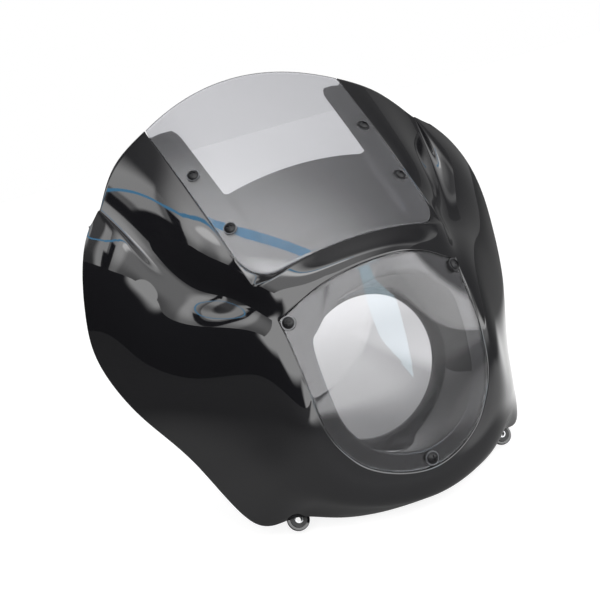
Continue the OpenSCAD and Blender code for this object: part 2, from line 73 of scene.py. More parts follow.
CORNER_REACH = 30.0
FLANGE_W, LOW_FLANGE_W, FLANGE_ROUND = 28.0, 11.0, 16
PANEL_SINK, PANEL_TOP_Z, PANEL_TOP_BOW = 11.0, 220.0, 10.5
EDGE_GAP = 0.6
RAKE, PLANE_W = 30, 38
LUGS = (("lower", 122*COWL_W/GUIDE_W, -112), ("upper", 213*COWL_W/GUIDE_W, 113))
LUG_R, LUG_BORE_R, LUG_T = 11.5, 6, 3.6
SIDES = (("left", -1), ("right", 1))
HOLE_R = 2.9
WS_SCREWS = ((-100, 229), (100, 229), (-97, 175), (97, 175))
LENS_SCREWS = ((-92, 85), (92, 85), (0, -78))

# Guide rows of the outer surface: fillet, valley, cheek, shoulder and rim of each row
RIMS = [
    [(0, -101, -99), (0, -98, -112), (0, -88, -120), (0, -74, -126), (0, -57, -133)],
    [(60, -91, -87), (67, -87, -100), (73, -76, -109), (79, -63, -116), (84, -50, -122)],
    [(90, -83, -64), (101, -75, -79), (110, -61, -91), (118, -43, -101), (127, -25, -113)],
    [(103, -79, -38), (118, -66, -52), (135, -45, -70), (148, -22, -90), (162, 3, -113)],
    [(109, -75, -4), (127, -55, -14), (151, -24, -27), (171, 7, -38), (193, 44, -47)],
    [(113, -63, 42), (133, -43, 38), (166, -5, 28), (198, 36, 18), (226, 79, 10)],
    [(115, -40, 90), (137, -19, 90), (174, 20, 83), (212, 62, 76), (246, 108, 68)],
    [(122, 0, 120), (140, 16, 114), (178, 45, 118), (216, 77, 118), (245, 113, 116)],
    [(130, 28, 160), (155, 53, 148), (181, 66, 155), (211, 87, 156), (236, 117, 155)],
    [(140, 88, 215), (171, 97, 189), (185, 100, 192), (204, 110, 190), (223, 125, 185)],
    [(156, 153, 260), (185, 141, 227), (193, 137.5, 218), (200, 135, 212), (208, 131, 205)]]
LENS_ROW, BROW_ROW, LAST_ROW = 6, 7, 10
WIDEN = (0.1, 0.3, 0.6, 0.85, 1)
WIDTH_SHARE = COWL_W/GUIDE_W - 1
LOW_ANGLES = (0, 31.5, 52, 69.5, 90)
FAN_Z = (-20, -5, 10, 22, 40, 65)
SIDE_SHARES = (0, 0.29, 0.66, 1)
HALF_KNOTS = (0, 1, 2, 2.5, 3.1, 4, 4.8, 5.5)
COL_KNOTS = np.array([-k for k in HALF_KNOTS[:0:-1]] + list(HALF_KNOTS))
ROW_KNOTS = np.arange(-LAST_ROW, LAST_ROW + 1, dtype=float)
EDGE_U = 2
FLIP = np.array([-1.0, 1.0, 1.0])

# Fineness of the skin, and the rounding of its edges at the two windows
PER_ROW = 16
NEAR_EDGE = (EDGE_U, 2.025, 2.06, 2.1, 2.15, 2.22)
LIP_R = 0.7


def unit(v):
    v = np.asarray(v, float)
    return v/np.maximum(np.linalg.norm(v, axis=-1, keepdims=True), 1e-12)


def smooth(x):
    x = min(1, max(0, x))
    return x*x*(3 - 2*x)


# Outer faces of the lens and of the windshield, their inward normals, and points under them
def lens_face(x, z):
    return -LENS_Y + LENS_LEAN*z + x*x*(LENS_BOW + LENS_BOW_GROWTH*z*z)


def ws_face(x, z):
    return (-WS_Y + WS_LEAN*(z - WS_BASE_Z)
            + x*x*(WS_BOW + WS_BOW_GROWTH*((WS_TOP_Z - z)/WS_SPAN)**2))


def lens_in(x, z):
    x, z = np.asarray(x, float), np.asarray(z, float)
    return unit(np.stack([-2*x*(LENS_BOW + LENS_BOW_GROWTH*z*z), np.ones_like(x),
                          -LENS_LEAN - x*x*(2*LENS_BOW_GROWTH)*z], -1))


def ws_in(x, z):
    x, z = np.asarray(x, float), np.asarray(z, float)
    q = (WS_TOP_Z - z)/WS_SPAN
    return unit(np.stack([-2*x*(WS_BOW + WS_BOW_GROWTH*q*q), np.ones_like(x),
                          -WS_LEAN + x*x*(2*WS_BOW_GROWTH)*q/WS_SPAN], -1))


def under_lens(x, z, d):
    x, z = np.asarray(x, float), np.asarray(z, float)
    return np.stack([x, lens_face(x, z), z], -1) + np.asarray(d)[..., None]*lens_in(x, z)


def under_ws(x, z, d):
    x, z = np.asarray(x, float), np.asarray(z, float)
    return np.stack([x, ws_face(x, z), z], -1) + np.asarray(d)[..., None]*ws_in(x, z)


# Outlines of the two windows
def ws_x(z):
    return WS_LOW_X + (WS_TOP_X - WS_LOW_X)*(z - WS_LOW_Z)/(WS_TOP_Z - WS_LOW_Z)


def low_edge(x):
    return WS_LOW_Z + WS_LOW_RISE*(1 - (x/WS_LOW_X)**2)


def top_edge(x):
    return WS_TOP_Z + WS_TOP_RISE*(1 - (x/WS_TOP_X)**2)


def lens_top(x):
    return LENS_Z + (LENS_TOP_Z - LENS_Z)*(1 - (x/LENS_X)**2)


def edge_xz(i):
    """Point of guide row i on the outline of its window."""
    if i < 5:
        a = math.radians(LOW_ANGLES[i])
        return (LENS_LOW_X*math.sin(a)**LENS_ROUND,
                LENS_HUB_Z - (LENS_BOTTOM_Z + LENS_HUB_Z)*math.cos(a))
    if i == 5:
        return ((LENS_LOW_X + LENS_X)/2, LENS_WAIST_Z)
    if i == LENS_ROW:
        return (LENS_X, LENS_Z)
    z = WS_LOW_Z + SIDE_SHARES[i - BROW_ROW]*(WS_TOP_Z - WS_LOW_Z)
    return (ws_x(z), z)


def centre_z(i):
    """Height at which guide row i starts in the middle of its window."""
    if i < LENS_ROW:
        return FAN_Z[i]
    if i == LENS_ROW:
        return LENS_TOP_Z
    return (edge_xz(i)[1] + WS_LOW_RISE
            + SIDE_SHARES[i - BROW_ROW]*(WS_TOP_RISE - WS_LOW_RISE))


def row_points(i):
    e, c = edge_xz(i), centre_z(i)
    face = lens_face if i <= LENS_ROW else ws_face
    mid = (0.6*e[0], c + 0.36*(e[1] - c))
    inner = [(x, face(x, z), z) for x, z in ((0, c), mid, e)]
    return inner + [(p[0]*(1 + w*WIDTH_SHARE), p[1], p[2]) for p, w in zip(RIMS[i], WIDEN)]


# Outer surface
def bends(knots, points):
    """Second derivatives of the natural cubic spline through points at knots."""
    n = len(knots)
    h = np.diff(knots)
    flat = points.reshape(n, -1)
    a = np.zeros((n, n))
    r = np.zeros_like(flat)
    a[0, 0] = a[-1, -1] = 1
    for i in range(1, n - 1):
        a[i, i - 1:i + 2] = h[i - 1], 2*(h[i - 1] + h[i]), h[i]
        r[i] = 6*((flat[i + 1] - flat[i])/h[i] - (flat[i] - flat[i - 1])/h[i - 1])
    return np.linalg.solve(a, r).reshape(points.shape)


def spline(knots, points, t):
    t = np.atleast_1d(np.asarray(t, float))
    m = bends(knots, points)
    i = np.clip(np.searchsorted(knots, t, side="right") - 1, 0, len(knots) - 2)
    shape = (len(t),) + (1,)*(points.ndim - 1)
    h = (knots[i + 1] - knots[i]).reshape(shape)
    a = (knots[i + 1] - t).reshape(shape)/h
    b = 1 - a
    return (a*points[i] + b*points[i + 1]
            + ((a**3 - a)*m[i] + (b**3 - b)*m[i + 1])*h*h/6)


ROWS = np.array([row_points(i) for i in range(LAST_ROW + 1)], float)
GUIDES = np.concatenate([ROWS[:0:-1]*FLIP, ROWS])


def surface(ts, us):
    """Points of the outer surface, one row for each t and one column for each u."""
    half = spline(ROW_KNOTS, GUIDES, ts)
    whole = np.concatenate([(half*FLIP)[:, :0:-1], half], axis=1)
    return spline(COL_KNOTS, whole.transpose(1, 0, 2), us).transpose(1, 0, 2)


# Meshes
class Mesh:
    """Collects points and faces, then makes a Blender object of them."""

    def __init__(self):
        self.points = []
        self.faces = []

    def add(self, points):
        start = len(self.points)
        points = np.asarray(points, float).reshape(-1, 3)
        self.points.extend(points.tolist())
        return list(range(start, start + len(points)))

    def face(self, *corners):
        kept = [c for k, c in enumerate(corners) if c != corners[k - 1]]
        if len(kept) > 2:
            self.faces.append(kept)

    def quads(self, grid, flip=False, wrap=False):
        n = len(grid)
        for i in range(n if wrap else n - 1):
            a, b = grid[i], grid[(i + 1) % n]
            for j in range(len(a) - 1):
                if flip:
                    self.face(a[j], b[j], b[j + 1], a[j + 1])
                else:
                    self.face(a[j], a[j + 1], b[j + 1], b[j])

    def make(self, name, material, sharp=40):
        mesh = bpy.data.meshes.new(name)
        mesh.from_pydata([[c*MM for c in p] for p in self.points], [], self.faces)
        mesh.validate()
        bm = bmesh.new()
        bm.from_mesh(mesh)
        bmesh.ops.recalc_face_normals(bm, faces=bm.faces)
        bm.to_mesh(mesh)
        bm.free()
        mesh.shade_smooth()
        mesh.set_sharp_from_angle(angle=math.radians(sharp))
        piece = bpy.data.objects.new(name, mesh)
        bpy.context.scene.collection.objects.link(piece)
        mesh.materials.append(material)
        return piece


def grid_normals(grid, wrap=False):
    """Normals of a grid of points, towards rows x columns."""
    if wrap:
        a = np.roll(grid, -1, 0) - np.roll(grid, 1, 0)
    else:
        a = np.gradient(grid, axis=0)
    b = np.gradient(grid, axis=1)
    return unit(np.cross(a, b))


def indices(mesh, grid):
    flat = mesh.add(grid)
    m = grid.shape[1]
    return [flat[i*m:(i + 1)*m] for i in range(grid.shape[0])]


def slab(mesh, top, under, wrap=False):
    """Closed solid between two grids of equal size."""
    a, b = indices(mesh, top), indices(mesh, under)
    mesh.quads(a, wrap=wrap)
    mesh.quads(b, flip=True, wrap=wrap)
    edges = [([r[0] for r in a], [r[0] for r in b]), ([r[-1] for r in a], [r[-1] for r in b])]
    if not wrap:
        edges += [(a[0], b[0]), (a[-1], b[-1])]
    for k, (p, q) in enumerate(edges):
        mesh.quads([p, q], flip=k in (1, 2))
        if wrap:
            mesh.face(p[-1], q[-1], q[0], p[0])


def lathe(mesh, profile, placing, steps=64):
    """Closed ring from a closed profile of (radius, height) points."""
    rows = []
    for n in range(steps):
        a = 2*math.pi*n/steps
        spots = [placing @ Vector((r*math.cos(a), r*math.sin(a), h)) for r, h in profile]
        rows.append(mesh.add([tuple(p) for p in spots]))
    for n in range(steps):
        a, b = rows[n], rows[(n + 1) % steps]
        for j in range(len(profile)):
            k = (j + 1) % len(profile)
            mesh.face(a[j], a[k], b[k], b[j])


def rounded_ring(r0, r1, h0, h1, e):
    """Profile of a ring with its four corners rounded by e."""
    corners = [(r0 + e, h0 + e, 180), (r1 - e, h0 + e, 270),
               (r1 - e, h1 - e, 0), (r0 + e, h1 - e, 90)]
    profile = []
    for r, h, start in corners:
        for a in (0, 30, 60, 90):
            angle = math.radians(start + a)
            profile.append((r + e*math.cos(angle), h + e*math.sin(angle)))
    return profile


# Skin of the shell
def wall_profile(inward, side, radius, depth, steps=3):
    """Offsets from the pulled-back edge: a small round lip, then straight down."""
    angles = [0.5*math.pi*k/steps for k in range(1, steps + 1)]
    lip = [radius*inward*(1 - math.cos(a)) + radius*side*math.sin(a) for a in angles]
    return lip + [radius*side + depth*inward]


def path_sides(points, normals, inside):
    """In-surface directions across an open path, pointing away from the points inside."""
    along = np.gradient(points, axis=0)
    side = unit(np.cross(along, normals))
    away = ((points - inside)*side).sum(1) < 0
    side[away] *= -1
    return side


def row_index(t):
    return int(round((t + LAST_ROW)*PER_ROW))


def lip_depth(t):
    """Depth of the skin at the windows' edge, which runs out to the wall at the top."""
    return WALL + (LIP - WALL)*min(1, max(0, (LAST_ROW - abs(t))/0.35))


def brow_share(t):
    """Share of the lip's depth in the brow: none in its middle, all of it at its edges."""
    return smooth(abs(abs(t) - (LENS_ROW + BROW_ROW)/2)/0.5*3 - 2)


def outer_strip(mesh, ts, depth):
    """Outer face from the windows to the rim, from the top left round the chin."""
    us = np.concatenate([NEAR_EDGE, np.arange(2.3, 5.45, 0.09), [5.47]])
    strip = indices(mesh, surface(ts, us))
    for i, t in enumerate(ts):
        share = brow_share(t) if LENS_ROW < abs(t) < BROW_ROW else 1
        edge = WALL + (lip_depth(t) - WALL)*share
        for j, u in enumerate(us):
            depth[strip[i][j]] = WALL + (edge - WALL)*(1 - smooth((u - 2.1)/0.15))
    mesh.quads(strip)
    return strip


def brow_face(mesh, ts, strip, depth):
    """Face between the windows, which shares its side points with the strip."""
    rows = ts[row_index(LENS_ROW):row_index(BROW_ROW) + 1]
    face = surface(rows, np.linspace(-EDGE_U, EDGE_U, 73))
    brow = []
    for i, t in enumerate(rows):
        line = mesh.add(face[i][1:-1])
        for k in line:
            depth[k] = WALL + (LIP - WALL)*brow_share(t)
        brow.append([strip[row_index(-t)][0]] + line + [strip[row_index(t)][0]])
    mesh.quads(brow)
    return brow


def corner_fillers(mesh, strip, brow, depth):
    """Faces that round the lower corners of the windshield's opening.

    Gives the free edge of each, and where they end on the brow and on the strip.
    """
    top = brow[-1]
    top_x = np.array([mesh.points[k][0] for k in top])
    col_a = int(np.argmin(abs(top_x - (WS_LOW_X - CORNER_REACH))))
    start = row_index(BROW_ROW)
    edge_z = np.array([mesh.points[line[0]][2] for line in strip])
    row_b = start + int(np.argmin(abs(edge_z[start:] - (WS_LOW_Z + CORNER_REACH))))
    corner = len(top) - 1 - col_a
    corners = []
    for sign in (1, -1):
        if sign == 1:
            path = top[col_a:] + [strip[i][0] for i in range(start + 1, row_b + 1)]
        else:
            path = top[:corner + 1][::-1] + [
                strip[2*row_index(0) - i][0] for i in range(start + 1, row_b + 1)]
        spots = np.array([mesh.points[k] for k in path])
        steps = np.linalg.norm(np.diff(spots, axis=0), axis=1)
        run = np.concatenate([[0], np.cumsum(steps)])
        share = np.where(np.arange(len(path)) <= corner, 0.5*run/run[corner],
                         0.5 + 0.5*(run - run[corner])/(run[-1] - run[corner]))
        a, k, b = (spots[n][[0, 2]] for n in (0, corner, -1))
        grid = []
        for n, s in enumerate(share):
            if n in (0, len(path) - 1):
                grid.append([path[n]]*6)
                continue
            curve = (1 - s)**2*a + 2*s*(1 - s)*k + s*s*b
            line = [path[n]]
            for c in (0.2, 0.4, 0.6, 0.8, 1):
                x, z = spots[n][[0, 2]] + c*(curve - spots[n][[0, 2]])
                off = (1 - c)*(spots[n][1] - ws_face(*spots[n][[0, 2]]))
                line += mesh.add([(x, ws_face(x, z) + off, z)])
                depth[line[-1]] = LIP
            grid.append(line)
        mesh.quads(grid, flip=sign == 1)
        corners.append([g[-1] for g in grid])
    return corners, col_a, row_b


def shell_skin(material):
    mesh = Mesh()
    depth = {}
    ts = np.linspace(-LAST_ROW, LAST_ROW, 2*LAST_ROW*PER_ROW + 1)
    strip = outer_strip(mesh, ts, depth)
    brow = brow_face(mesh, ts, strip, depth)
    corners, col_a, row_b = corner_fillers(mesh, strip, brow, depth)

    # Inward normals from the faces so far
    points = np.array(mesh.points)
    normals = np.zeros_like(points)
    for f in mesh.faces:
        p = points[f]
        normals[f] -= np.cross(p[2] - p[0], p[-1] - p[1])
    normals = unit(normals)
    outer_faces = list(mesh.faces)

    # Edges: the free rim, the windshield's opening and the lens's opening
    rim = strip[-1] + [line[-1] for line in strip[-2:0:-1]] + strip[0][::-1]
    inner_of_rim = strip[-2] + [line[-2] for line in strip[-2:0:-1]] + strip[1][::-1]
    side_down = [line[0] for line in strip[:row_b:-1]]
    side_up = [strip[i][0] for i in range(2*row_index(0) - row_b - 1, -1, -1)]
    low_line = brow[-1][len(brow[-1]) - col_a:col_a][::-1]
    ws_line = side_down + corners[0][::-1] + low_line + corners[1] + side_up
    lens_line = [strip[i][0] for i in range(row_index(-LENS_ROW), row_index(LENS_ROW) + 1)]
    lens_line += brow[0][1:-1][::-1]

    # Inward and sideways directions at each of them
    rim_n = normals[rim]
    rim_l = path_sides(points[rim], rim_n, points[inner_of_rim])
    ws_p, lens_p = points[ws_line], points[lens_line]
    ws_d = ws_in(ws_p[:, 0], ws_p[:, 2])
    ws_mid = np.array([0, ws_face(0, WS_MID_Z), WS_MID_Z])
    ws_l = -path_sides(ws_p, ws_d, np.broadcast_to(ws_mid, ws_p.shape))
    lens_d = lens_in(lens_p[:, 0], lens_p[:, 2])
    loop = np.concatenate([lens_p[-1:], lens_p, lens_p[:1]])
    lens_mid = np.array([0, lens_face(0, LENS_MID_Z), LENS_MID_Z])
    lens_l = unit(np.cross((loop[2:] - loop[:-2]), lens_d))
    lens_l[((lens_mid - lens_p)*lens_l).sum(1) < 0] *= -1

    # Edges pulled back for their roundings, and the inner face
    moved = points.copy()
    moved[rim] -= rim_l*WALL/2
    moved[ws_line] -= ws_l*LIP_R
    moved[lens_line] -= lens_l*LIP_R
    mesh.points[:] = moved.tolist()
    under = moved + normals*np.array([depth[k] for k in range(len(points))])[:, None]
    for line, dirs in ((ws_line, ws_d), (lens_line, lens_d)):
        for k, d in zip(line, dirs):
            under[k] = moved[k] + d*depth[k]
    for k in (rim[0], rim[-1]):
        under[k] = moved[k] + normals[k]*WALL
    start = mesh.add(under)[0]
    for f in outer_faces:
        mesh.face(*[start + k for k in f[::-1]])

    # Round rim, walls of the openings, and the two ends where they meet
    rows = []
    for k, n, side in zip(rim, rim_n, rim_l):
        mid = moved[k] + n*WALL/2
        arc = [mid + WALL/2*(-n*math.cos(a) + side*math.sin(a))
               for a in np.linspace(0, math.pi, 8)[1:-1]]
        rows.append([k] + mesh.add(arc) + [start + k])
    mesh.quads(rows)
    ends = [rows[0], rows[-1]]
    walls = []
    for line, dirs, sides in ((ws_line, ws_d, ws_l), (lens_line, lens_d, lens_l)):
        rows = []
        for k, d, side in zip(line, dirs, sides):
            deep = depth[k] if k not in (rim[0], rim[-1]) else WALL
            spots = [moved[k] + o for o in wall_profile(d, side, LIP_R, deep)]
            rows.append([k] + mesh.add(spots) + [start + k])
        mesh.quads(rows, wrap=line is lens_line)
        walls.append(rows)
    for arc, wall in zip(ends, (walls[0][0], walls[0][-1])):
        mesh.face(*(arc + wall[-2:0:-1]))
    return mesh.make("shell_skin", material, 50)


# Outlines of the two sheets, as loops of (x, z) points
def lens_loop(per_row=12):
    ts = np.concatenate([np.arange(0.5/per_row, 5.8, 1/per_row), [5.8, 5.87, 5.93]])
    half = [(p[0], p[2]) for p in surface(ts, [EDGE_U])[:, 0]]
    half += [(0.994*LENS_X, 0.995*LENS_Z + 1.2)]
    half += [(k*LENS_X, lens_top(k*LENS_X)) for k in np.linspace(0.97, 0.01, 34)]
    return np.array(half + [(-x, z) for x, z in half[::-1]])


def corner_line(n):
    reach = WS_LOW_X - CORNER_REACH
    a = np.array([reach, low_edge(reach)])
    k = np.array([WS_LOW_X, WS_LOW_Z])
    b = np.array([ws_x(WS_LOW_Z + CORNER_REACH), WS_LOW_Z + CORNER_REACH])
    return [tuple((1 - s)**2*a + 2*s*(1 - s)*k + s*s*b) for s in np.linspace(0, 1, n)]


def ws_half(n=12):
    reach = WS_LOW_X - CORNER_REACH
    bottom = [(x, low_edge(x)) for x in np.linspace(0.01, 0.97, 20)*reach]
    side = surface(np.arange(7.66, 9.97, 1/n), [EDGE_U])[:, 0]
    above = [(p[0], p[2]) for p in side if p[2] > WS_LOW_Z + CORNER_REACH + 2]
    return bottom + corner_line(13) + above


def ws_loop():
    half = ws_half() + [(k*WS_TOP_X, top_edge(k*WS_TOP_X))
                        for k in np.concatenate([[0.993, 0.975], np.linspace(0.95, 0.01, 30)])]
    return np.array(half + [(-x, z) for x, z in half[::-1]])


def scaled(loop, mid_z, k):
    return np.stack([loop[..., 0]*k, mid_z + (loop[..., 1] - mid_z)*k], -1)


def panel_plate(name, loop, mid_z, under, thick, material):
    """Windshield or lens: a curved plate with rounded edges over rings of its outline."""
    mesh = Mesh()
    base = 1 - EDGE_GAP/100
    edge = [(0, 0.45), (0.1, 0.17), (0.3, 0.04), (0.6, 0)]
    ks = [(base - e/100, d) for e, d in edge]
    ks += [(k, 0) for k in np.linspace(base - 0.03, 0.05, 26)]
    sides = []
    for top in (True, False):
        grid = []
        for k, d in ks:
            ring = scaled(loop, mid_z, k)
            depths = np.full(len(ring), d if top else thick - d)
            grid.append(under(ring[:, 0], ring[:, 1], depths))
        ids = indices(mesh, np.stack(grid, 1))
        mid = mesh.add(under(0.0, float(mid_z), 0 if top else thick))[0]
        mesh.quads(ids, flip=not top, wrap=True)
        for n in range(len(ids)):
            a, b = ids[n][-1], ids[(n + 1) % len(ids)][-1]
            mesh.face(*((a, mid, b) if top else (a, b, mid)))
        sides.append(ids)
    for n in range(len(loop)):
        m = (n + 1) % len(loop)
        mesh.face(sides[0][n][0], sides[1][n][0], sides[1][m][0], sides[0][m][0])
    return mesh.make(name, material, 50)


# Inner forms of the shell
def bucket(material):
    """Funnel from the lens's ledge back to the lamp ring, with a round fold at the ledge."""
    mesh = Mesh()
    rows = []
    for x, z in lens_loop():
        spot = np.array([x, z])
        pull = 0.09*min(1, (abs(x)/LENS_X)**6*(z/LENS_Z)**6) if z > 0 else 0
        share = 1 - LEDGE_SHARE - pull
        qx, qz = scaled(spot, LENS_MID_Z, share)
        f = under_lens(qx, qz, SEAT)
        c = (RING_R - 1.5)*unit([qx, qz])
        back = np.array([c[0], -RING_T + 3, c[1]])
        line = [back]
        for s in np.linspace(0, 1, 18)[1:-1]:
            e = smooth(s)
            line.append(back + (f - back)*np.array([e, s, e]))
        edge = under_lens(*scaled(spot, LENS_MID_Z, share + 0.03), SEAT)
        wall_way, seat_way = unit(line[-1] - f), unit(edge - f)
        line += [f + 2.2*wall_way, f + 1.1*wall_way, f + 0.35*(wall_way + seat_way),
                 f + 1.1*seat_way, edge]
        for k in (0.9, 0.95, 0.975, 1.04):
            p = scaled(spot, LENS_MID_Z, k)
            line.append(under_lens(p[0], p[1], SEAT))
        rows.append(line)
    grid = np.array(rows)
    slab(mesh, grid, grid + WALL*grid_normals(grid, True), wrap=True)
    return mesh.make("shell_bucket", material, 50)


def lamp_ring(material):
    mesh = Mesh()
    turn = Matrix.Rotation(math.radians(90), 4, "X")
    lathe(mesh, rounded_ring(LAMP_R, RING_R, 0, RING_T, 0.9), turn, 128)
    return mesh.make("shell_lamp_ring", material, 50)


def flange(material):
    """Ledge under the windshield's edge, which narrows in a round end at the top."""
    mesh = Mesh()
    half = np.array(ws_half())
    path = np.concatenate([half[::-1]*[-1, 1], half])
    rows = []
    for x, z in path:
        end = max(0, z - WS_TOP_Z + FLANGE_ROUND)/FLANGE_ROUND
        w = FLANGE_W*(1 - 0.97*end**3)**(1/3)
        xi = abs(x)*(1 - w/ws_x(z))
        q = np.array([math.copysign(xi, x), max(z, low_edge(xi) + LOW_FLANGE_W)])
        p = np.array([x, z])
        inner = q + 0.04*(p - q)
        spots = [(q, 0.5), (q + 0.012*(p - q), 0.12), (inner, 0), ((q + p)/2, 0)]
        line = [under_ws(s[0], s[1], SEAT + d) for s, d in spots]
        line += [under_ws(*scaled(p, WS_MID_Z, k), SEAT) for k in (0.975, 1.035)]
        rows.append(line)
    grid = np.array(rows)
    normals = grid_normals(grid)
    under = grid + WALL*normals
    under[:, 0] = grid[:, 0] + (WALL - 0.5)*normals[:, 2]
    slab(mesh, grid, under)
    return mesh.make("shell_flange", material, 40)


def sunken_panel(material):
    """Panel behind the lower windshield, whose edges rise under the flange."""
    mesh = Mesh()
    tuck = SEAT + 0.5*WALL
    half = [1, 0.955, 0.945, 0.93, 0.905, 0.89, 0.875, 0.8]
    xs = [-k for k in half] + list(np.linspace(-0.7, 0.7, 15)) + half[::-1]
    steps = [0, 0, 0.06, 0.3, 0.8, 0.95, 1, 1]
    vs = [0, 0.07, 0.08, 0.1, 0.135, 0.155, 0.175, 0.22] + list(np.linspace(0.3, 1, 12))
    rows = []
    for i, v in enumerate(vs):
        line = []
        for j, k in enumerate(xs):
            x0 = k*(WS_LOW_X - FLANGE_W + 5)
            z0 = low_edge(x0) + LOW_FLANGE_W - 4
            z = z0 + v*(PANEL_TOP_Z - PANEL_TOP_BOW*(x0/(WS_LOW_X - FLANGE_W))**2 - z0)
            x = k*(ws_x(z) - FLANGE_W + 5)
            side = min(j, len(xs) - 1 - j)
            share = min(steps[side] if side < 8 else 1, steps[i] if i < 8 else 1)
            line.append(under_ws(x, z, tuck + share*(PANEL_SINK - tuck)))
        rows.append(line)
    grid = np.array(rows)
    slab(mesh, grid, grid + WALL*grid_normals(grid))
    return mesh.make("shell_panel", material, 40)


# Mounting lugs on the raked plane, and the webs that join them to the skin
def lug_place(x, s):
    rake = math.radians(RAKE)
    back = np.array([0, math.cos(rake), -math.sin(rake)])
    up = np.array([0, math.sin(rake), math.cos(rake)])
    p = np.array([x, 0, 0]) + PLANE_W*back + s*up
    across = np.cross(up, back)
    m = Matrix.Identity(4)
    for k in range(3):
        m[k][0], m[k][1], m[k][2], m[k][3] = across[k], up[k], back[k], p[k]
    return m


def lugs(material):
    pieces = []
    for side, sign in SIDES:
        for rank, x, s in LUGS:
            mesh = Mesh()
            lathe(mesh, rounded_ring(LUG_BORE_R, LUG_R, 0, LUG_T, 0.6), lug_place(sign*x, s), 64)
            pieces.append(mesh.make(f"shell_lug_{rank}_{side}", material, 50))
    return pieces


def web_box(place, low, high, name, material):
    """Box between two corners, given in the lug's own directions."""
    mesh = Mesh()
    around = ((low[0], low[1]), (high[0], low[1]), (high[0], high[1]), (low[0], high[1]))
    ids = mesh.add([tuple(place @ Vector((a, b, c))) for c in (low[2], high[2]) for a, b in around])
    mesh.face(*ids[:4][::-1])
    mesh.face(*ids[4:])
    for k in range(4):
        n = (k + 1) % 4
        mesh.face(ids[k], ids[n], ids[4 + n], ids[4 + k])
    return mesh.make(name, material, 30)


def lug_webs(material):
    """Webs from the lugs to the inside of the shell, trimmed by everything outside it."""
    pieces = []
    for side, sign in SIDES:
        for rank, x, s in LUGS:
            if rank == "lower":
                rows, low, high = (1, 4), (-13, 3.5, -6), (13, 15, 3.2)
            elif side == "left":
                rows, low, high = (5, 8), (0, -8, 0.4), (32, 8, 3.2)
            else:
                rows, low, high = (5, 8), (-32, -8, 0.4), (0, 8, 3.2)
            piece = web_box(lug_place(sign*x, s), low, high, f"shell_web_{rank}_{side}", material)
            ts = np.linspace(*rows, 40)*sign
            face = surface(ts if sign > 0 else ts[::-1], np.linspace(4, 5.5, 24))
            normal = grid_normals(face)
            outside = Mesh()
            slab(outside, face - 30*normal, face + 0.5*WALL*normal)
            cut_away(piece, outside.make("cutter", material))
            edge = piece.modifiers.new("edge", "BEVEL")
            edge.width, edge.segments, edge.limit_method = 0.5*MM, 2, "ANGLE"
            apply_modifiers(piece)
            pieces.append(piece)
    return pieces


def apply_modifiers(piece):
    bpy.context.view_layer.update()
    result = piece.evaluated_get(bpy.context.evaluated_depsgraph_get())
    mesh = bpy.data.meshes.new_from_object(result)
    old = piece.data
    piece.modifiers.clear()
    piece.data = mesh
    bpy.data.meshes.remove(old)


def cut_away(piece, cutter):
    cut = piece.modifiers.new("cut", "BOOLEAN")
    cut.object, cut.operation, cut.solver = cutter, "DIFFERENCE", "EXACT"
    apply_modifiers(piece)
    bpy.data.objects.remove(cutter)


def drill(piece, spots, radius):
    """Round holes through a plate; each spot is a point and its inward direction."""
    sides = 48
    angles = np.linspace(0, 2*math.pi, sides, endpoint=False)
    cutter = Mesh()
    for p, n in spots:
        turn = Vector(n).to_track_quat("Z", "Y").to_matrix().to_4x4()
        place = Matrix.Translation(Vector(p)) @ turn
        rings = [cutter.add([tuple(place @ Vector((radius*math.cos(a), radius*math.sin(a), h)))
                             for a in angles]) for h in (-6, 12)]
        cutter.face(*rings[0][::-1])
        cutter.face(*rings[1])
        for k in range(sides):
            m = (k + 1) % sides
            cutter.face(rings[0][k], rings[0][m], rings[1][m], rings[1][k])
    cut_away(piece, cutter.make("drill", piece.data.materials[0]))
    bm = bmesh.new()
    bm.from_mesh(piece.data)
    bmesh.ops.triangulate(bm, faces=[f for f in bm.faces if len(f.verts) > 4])
    bmesh.ops.dissolve_degenerate(bm, edges=bm.edges, dist=0.01*MM)
    bm.to_mesh(piece.data)
    bm.free()
    piece.data.set_sharp_from_angle(angle=math.radians(50))


# Materials
def plain(name, colour, roughness, metallic=0.0, **more):
    material = bpy.data.materials.new(name)
    material.use_nodes = True
    shader = material.node_tree.nodes["Principled BSDF"]
    shader.inputs["Base Color"].default_value = (*colour, 1)
    shader.inputs["Roughness"].default_value = roughness
    shader.inputs["Metallic"].default_value = metallic
    for key, value in more.items():
        shader.inputs[key.replace("_", " ")].default_value = value
    return material


def grain(material, scale, bump, low, high, socket="Roughness"):
    """Fine relief, and an uneven level of one socket, from noise in the piece's own coordinates."""
    nodes, links = material.node_tree.nodes, material.node_tree.links
    shader = nodes["Principled BSDF"]
    place = nodes.new("ShaderNodeTexCoord")
    noise = nodes.new("ShaderNodeTexNoise")
    noise.inputs["Scale"].default_value = scale
    noise.inputs["Detail"].default_value = 3.0
    links.new(place.outputs["Object"], noise.inputs["Vector"])
    if bump:
        relief = nodes.new("ShaderNodeBump")
        relief.inputs["Strength"].default_value = bump
        relief.inputs["Distance"].default_value = 0.0002
        links.new(noise.outputs["Fac"], relief.inputs["Height"])
        links.new(relief.outputs["Normal"], shader.inputs["Normal"])
    spread = nodes.new("ShaderNodeMapRange")
    spread.inputs["To Min"].default_value = low
    spread.inputs["To Max"].default_value = high
    links.new(noise.outputs["Fac"], spread.inputs["Value"])
    links.new(spread.outputs["Result"], shader.inputs[socket])
    return material


